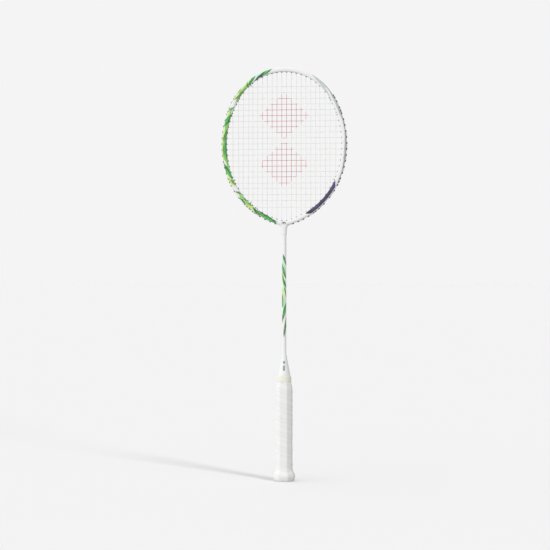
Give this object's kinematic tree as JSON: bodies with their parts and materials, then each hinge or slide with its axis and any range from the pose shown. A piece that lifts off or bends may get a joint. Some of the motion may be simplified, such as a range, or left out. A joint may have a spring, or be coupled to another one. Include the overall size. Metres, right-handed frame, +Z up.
{
  "type": "badminton racket",
  "caption": "Strung badminton racket: oval tubular head with a woven string bed, slim round shaft, cone cap and a wrapped eight-sided handle with a flared butt.",
  "frame": {"origin": "middle of the flat end plate under the butt, where the racket stands upright", "axes": "+Z runs up the shaft to the top of the head, +X to the right across the strings, +Y is the back face of the string bed"},
  "size_m": [0.2071, 0.0335, 0.675],
  "materials": {
    "painted_composite": "gloss white lacquer over moulded fibre laminate, green brush strokes on one side and a dark violet band on the other",
    "shaft_lacquer": "gloss white lacquer with slanting green strokes over a round fibre tube",
    "cap_plastic": "moulded white plastic with small dark green marks",
    "handle_wood": "plain light wood under the grip",
    "butt_plastic": "white moulded end plate",
    "grip_wrap": "soft white synthetic grip tape wound in a spiral",
    "band_tape": "cream finishing tape",
    "staple_steel": "bright steel wire",
    "string_nylon": "white multifilament nylon string with a red printed pattern",
    "grommet_nylon": "pale moulded nylon"
  },
  "bodies": {
    "root": {"frame_hoop": "painted_composite", "throat_joint": "painted_composite", "shaft": "shaft_lacquer", "cone_cap": "cap_plastic", "handle_core": "handle_wood", "butt_cap": "butt_plastic", "grip_tape": "grip_wrap", "finishing_tape": "band_tape", "grip_staple": "staple_steel", "main_string": "string_nylon", "cross_string": "string_nylon", "string_knots": "string_nylon", "top_grommets": "grommet_nylon", "throat_grommets": "grommet_nylon", "shared_grommets": "grommet_nylon", "tie_off_grommets": "grommet_nylon", "upper_left_grommets": "grommet_nylon", "upper_right_grommets": "grommet_nylon", "lower_left_grommets": "grommet_nylon", "lower_right_grommets": "grommet_nylon"}
  },
  "joints": []
}
